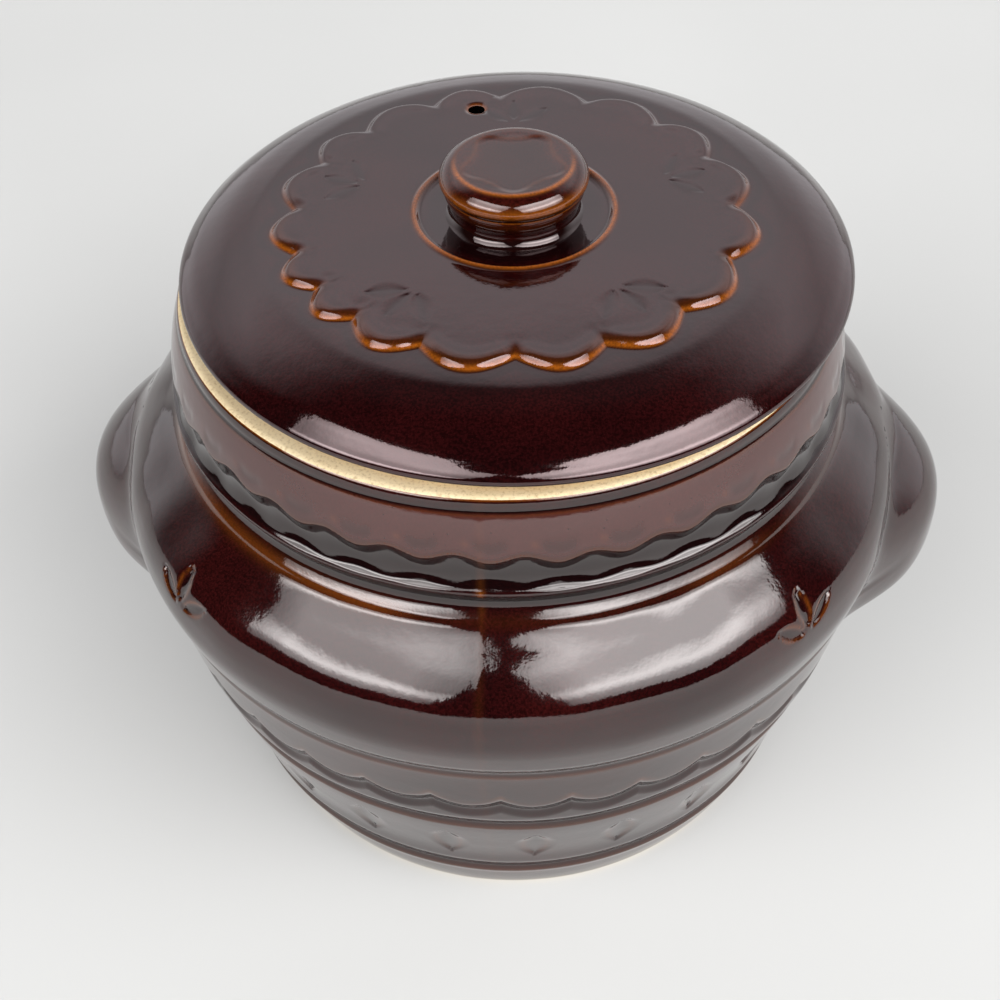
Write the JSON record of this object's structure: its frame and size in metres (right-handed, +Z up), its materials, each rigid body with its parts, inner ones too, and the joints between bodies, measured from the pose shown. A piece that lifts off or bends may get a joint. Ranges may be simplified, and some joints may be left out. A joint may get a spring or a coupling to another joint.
{
  "type": "stoneware bean pot",
  "caption": "Round-bellied glazed stoneware bean pot with two lug handles and a loose domed lid with a button knob, for slow baking and serving.",
  "frame": {"origin": "centre of the foot, on the surface that the pot stands on", "axes": "+Z up along the pot's axis, +X towards the right-hand lug as the picture shows it, -Y towards the front mould seam"},
  "size_m": [0.2156, 0.19, 0.1736],
  "materials": {
    "pot_glaze": "glossy oxblood-brown glaze over cream stoneware, breaking amber on edges; rim seat and foot bare",
    "handle_glaze": "glossy oxblood-brown glaze",
    "lid_glaze": "glossy oxblood-brown glaze, amber where it breaks over the medallion's edge; sole and flange bare",
    "knob_glaze": "glossy glaze, thinner and more amber than on the lid"
  },
  "bodies": {
    "pot": {"pot_body": "pot_glaze", "handle_left": "handle_glaze", "handle_right": "handle_glaze"},
    "lid": {"lid": "lid_glaze", "lid_knob": "knob_glaze"}
  },
  "joints": [
    {"name": "lid_lift", "type": "slide", "parent": "pot", "child": "lid", "axis": [0, 0, 1], "range_m": [0, 0.08]}
  ]
}
